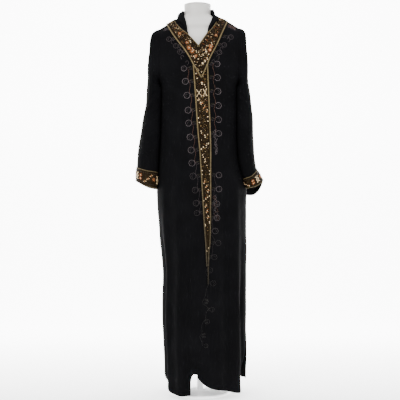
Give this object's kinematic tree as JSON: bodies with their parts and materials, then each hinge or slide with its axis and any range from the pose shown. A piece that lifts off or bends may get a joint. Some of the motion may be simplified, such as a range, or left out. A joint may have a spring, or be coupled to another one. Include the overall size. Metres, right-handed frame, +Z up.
{
  "type": "hooded kaftan on a headless dress form",
  "caption": "Long black open-front hooded kaftan with a beaded V neck band, tapering centre band, banded cuffs and side slits, worn on a limbless dress form with pole and round base",
  "frame": {"origin": "centre of the base's underside, on the floor", "axes": "+Z up, -Y towards the viewer of the garment's front, +X towards the wearer's left"},
  "size_m": [0.5105, 0.309, 1.5483],
  "materials": {
    "black_crepe": "matt black crepe with a faint sheen",
    "beaded_band": "dark brown ground under gold thread and beads",
    "gold_piping": "twisted antique gold cord",
    "thread_embroidery": "dull mauve-grey and olive thread",
    "gold_beads": "small glossy cream and gold beads",
    "form_plastic": "smooth satin off-white",
    "stand_metal": "white enamel"
  },
  "bodies": {
    "root": {"form_torso": "form_plastic", "form_cap": "form_plastic", "form_pole": "stand_metal", "form_base": "stand_metal", "front_right": "black_crepe", "front_left": "black_crepe", "back": "black_crepe", "sleeve_right": "black_crepe", "sleeve_left": "black_crepe", "hood_stand": "black_crepe", "hood_bag": "black_crepe", "neck_band_right": "beaded_band", "neck_band_left": "beaded_band", "neck_band_back": "beaded_band", "centre_band": "beaded_band", "cuff_band_right": "beaded_band", "cuff_band_left": "beaded_band", "piping_centre_right": "gold_piping", "piping_centre_left": "gold_piping", "piping_neck_right": "gold_piping", "piping_neck_left": "gold_piping", "piping_front_edge": "gold_piping", "cuff_piping_top_right": "gold_piping", "cuff_piping_bottom_right": "gold_piping", "cuff_piping_top_left": "gold_piping", "cuff_piping_bottom_left": "gold_piping"}
  },
  "joints": []
}
